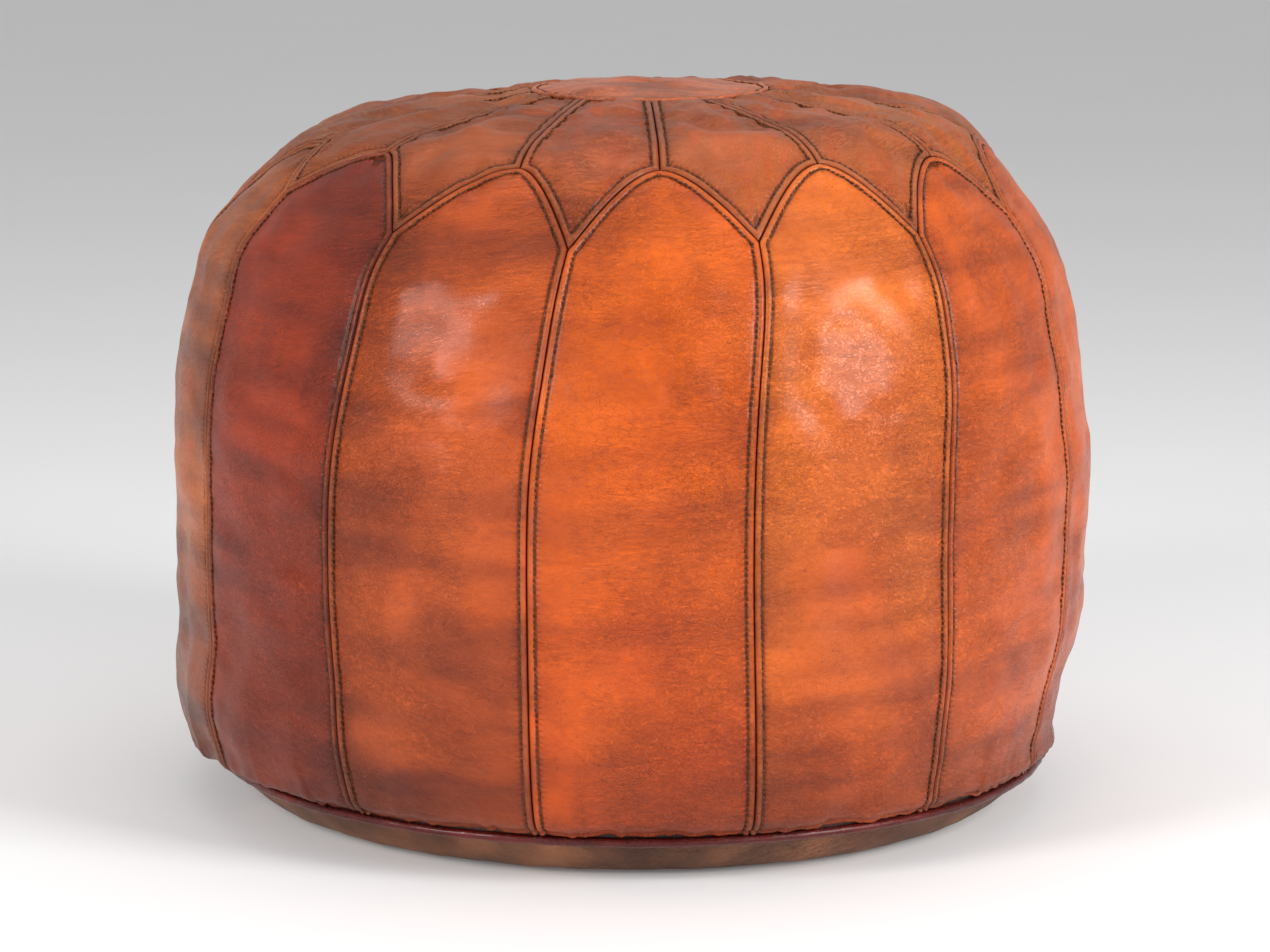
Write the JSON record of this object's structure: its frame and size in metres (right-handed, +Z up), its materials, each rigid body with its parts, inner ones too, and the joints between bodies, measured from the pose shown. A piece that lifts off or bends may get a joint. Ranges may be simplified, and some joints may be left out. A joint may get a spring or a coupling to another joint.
{
  "type": "moroccan leather pouf",
  "caption": "Round stuffed leather floor seat: panelled sides with pointed arch tops, petal top around a small centre piece, piped lower edge and a flat base with a recessed zip.",
  "frame": {"origin": "middle of the flat face that stands on the floor", "axes": "+Z up through the middle of the top, -Y towards the front, +X to the viewer's right, along the zip"},
  "size_m": [0.4993, 0.4988, 0.3844],
  "materials": {
    "side_leather": "satin",
    "top_leather": "satin",
    "welt_leather": "gloss",
    "base_leather": "satin",
    "zip_tape": "matte",
    "zip_coil": "satin",
    "zip_metal": "satin",
    "seam_thread": "satin",
    "lining_cloth": "matte",
    "cotton_filling": "matte"
  },
  "bodies": {
    "cover": {"side_panel_01": "side_leather", "side_panel_02": "side_leather", "side_panel_03": "side_leather", "side_panel_04": "side_leather", "side_panel_05": "side_leather", "side_panel_06": "side_leather", "side_panel_07": "side_leather", "side_panel_08": "side_leather", "side_panel_09": "side_leather", "side_panel_10": "side_leather", "side_panel_11": "side_leather", "side_panel_12": "side_leather", "side_panel_13": "side_leather", "side_panel_14": "side_leather", "top_petal_01": "top_leather", "top_petal_02": "top_leather", "top_petal_03": "top_leather", "top_petal_04": "top_leather", "top_petal_05": "top_leather", "top_petal_06": "top_leather", "top_petal_07": "top_leather", "top_petal_08": "top_leather", "top_petal_09": "top_leather", "top_petal_10": "top_leather", "top_petal_11": "top_leather", "top_petal_12": "top_leather", "top_petal_13": "top_leather", "top_petal_14": "top_leather", "centre_medallion": "top_leather", "edge_welt": "welt_leather", "base_half_back": "base_leather", "base_half_front": "base_leather", "zip_tape_back": "zip_tape", "zip_tape_front": "zip_tape", "zip_coil_back": "zip_coil", "zip_coil_front": "zip_coil", "zip_stop_closed": "zip_metal", "zip_stop_open": "zip_metal", "cloth_lining": "lining_cloth", "cotton_filling": "cotton_filling"},
    "slider": {"zip_slider": "zip_metal"},
    "pull_tab": {"zip_pull_tab": "zip_metal"}
  },
  "joints": [
    {"name": "zip_slide", "type": "slide", "parent": "cover", "child": "slider", "axis": [1, 0, 0], "range_m": [0, 0.286]},
    {"name": "pull_swing", "type": "hinge", "parent": "slider", "child": "pull_tab", "pos_m": [-0.143, 0, 0.0034], "axis": [0, 1, 0], "range_deg": [0, 170]}
  ]
}
